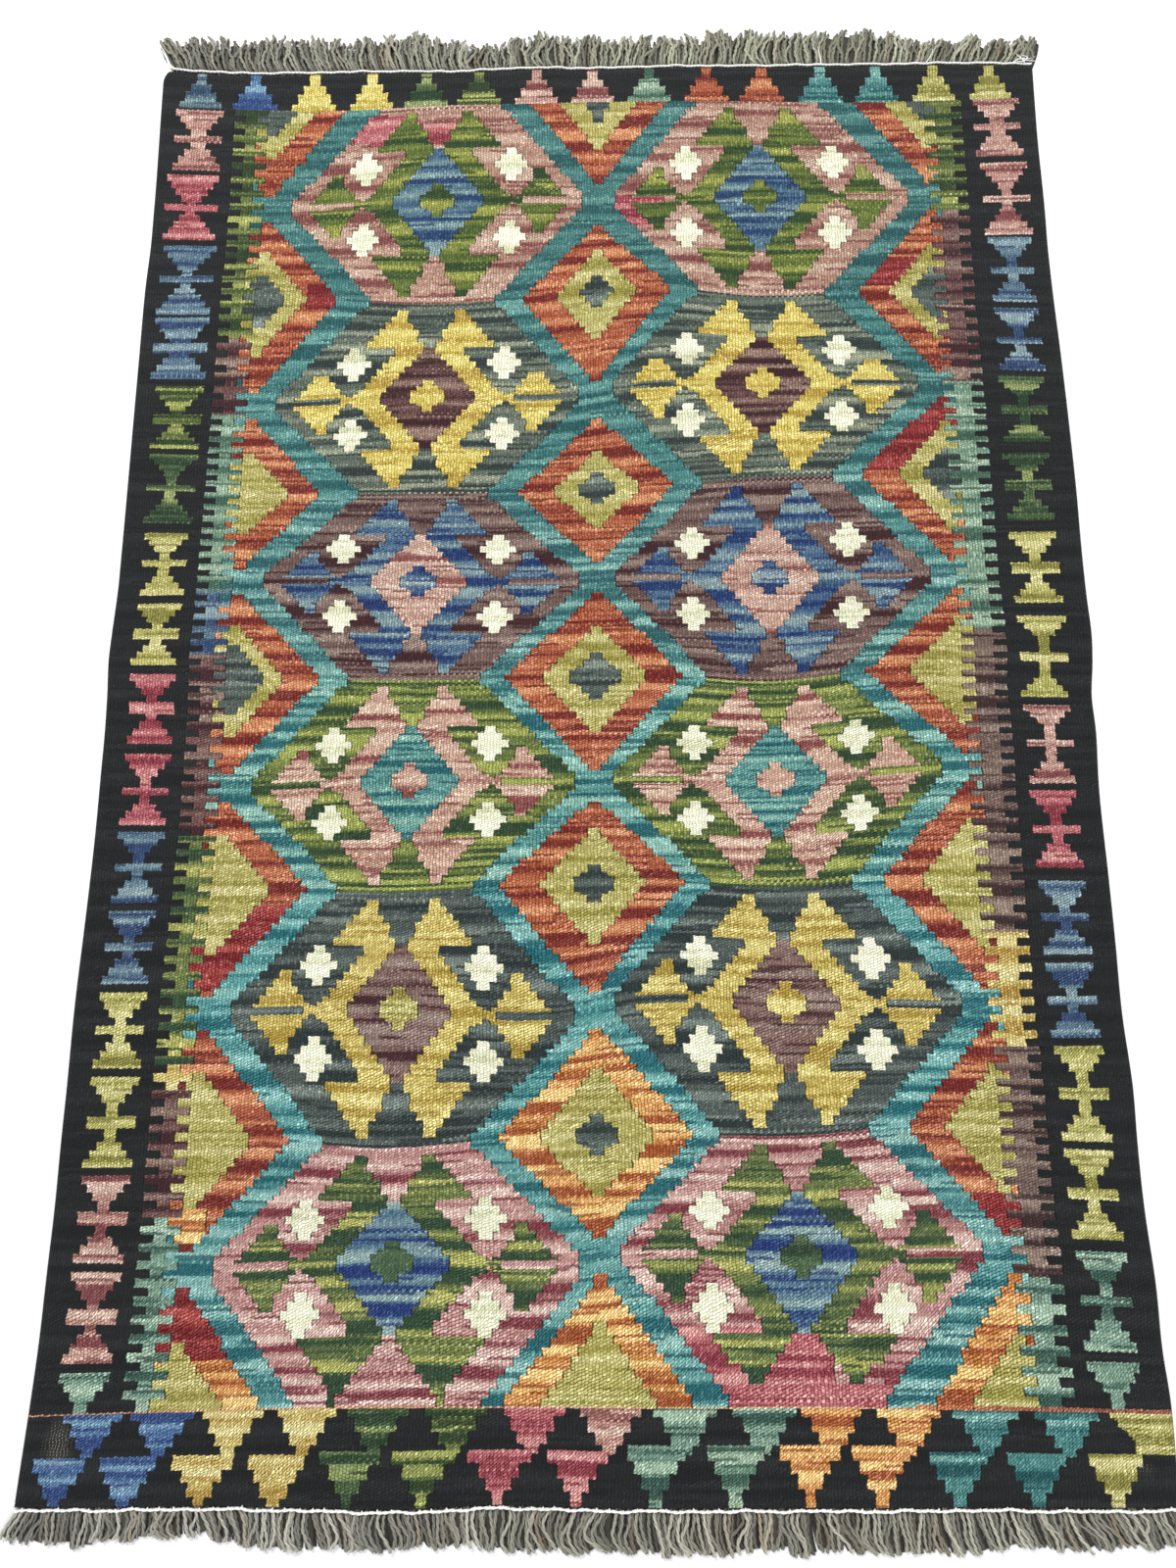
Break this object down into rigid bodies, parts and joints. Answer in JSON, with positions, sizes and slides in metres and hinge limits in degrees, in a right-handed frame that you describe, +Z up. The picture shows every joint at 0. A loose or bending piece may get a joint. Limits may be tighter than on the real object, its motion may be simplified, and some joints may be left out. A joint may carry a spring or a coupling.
{
  "type": "kilim rug",
  "caption": "Small flat-woven kilim rug with stepped hexagon medallions, a dark border of stepped triangles and a short fringe at each end, lying flat.",
  "frame": {"origin": "on the floor under the middle of the rug's box", "axes": "+Z up from the floor, +Y along the rug's length to its far end, +X across its width to the right"},
  "size_m": [0.8424, 1.3082, 0.004],
  "materials": {
    "woven_wool": "flat-woven dyed wool in many colours, matt, with fine ribs along the warps and streaked dyes",
    "warp_wool": "undyed grey-brown plied wool yarn, matt and hairy",
    "white_cotton": "white twined cotton cord, matt"
  },
  "bodies": {
    "root": {"rug_cloth": "woven_wool", "fringe_near": "warp_wool", "fringe_far": "warp_wool", "twine_near": "white_cotton", "twine_far": "white_cotton"}
  },
  "joints": []
}
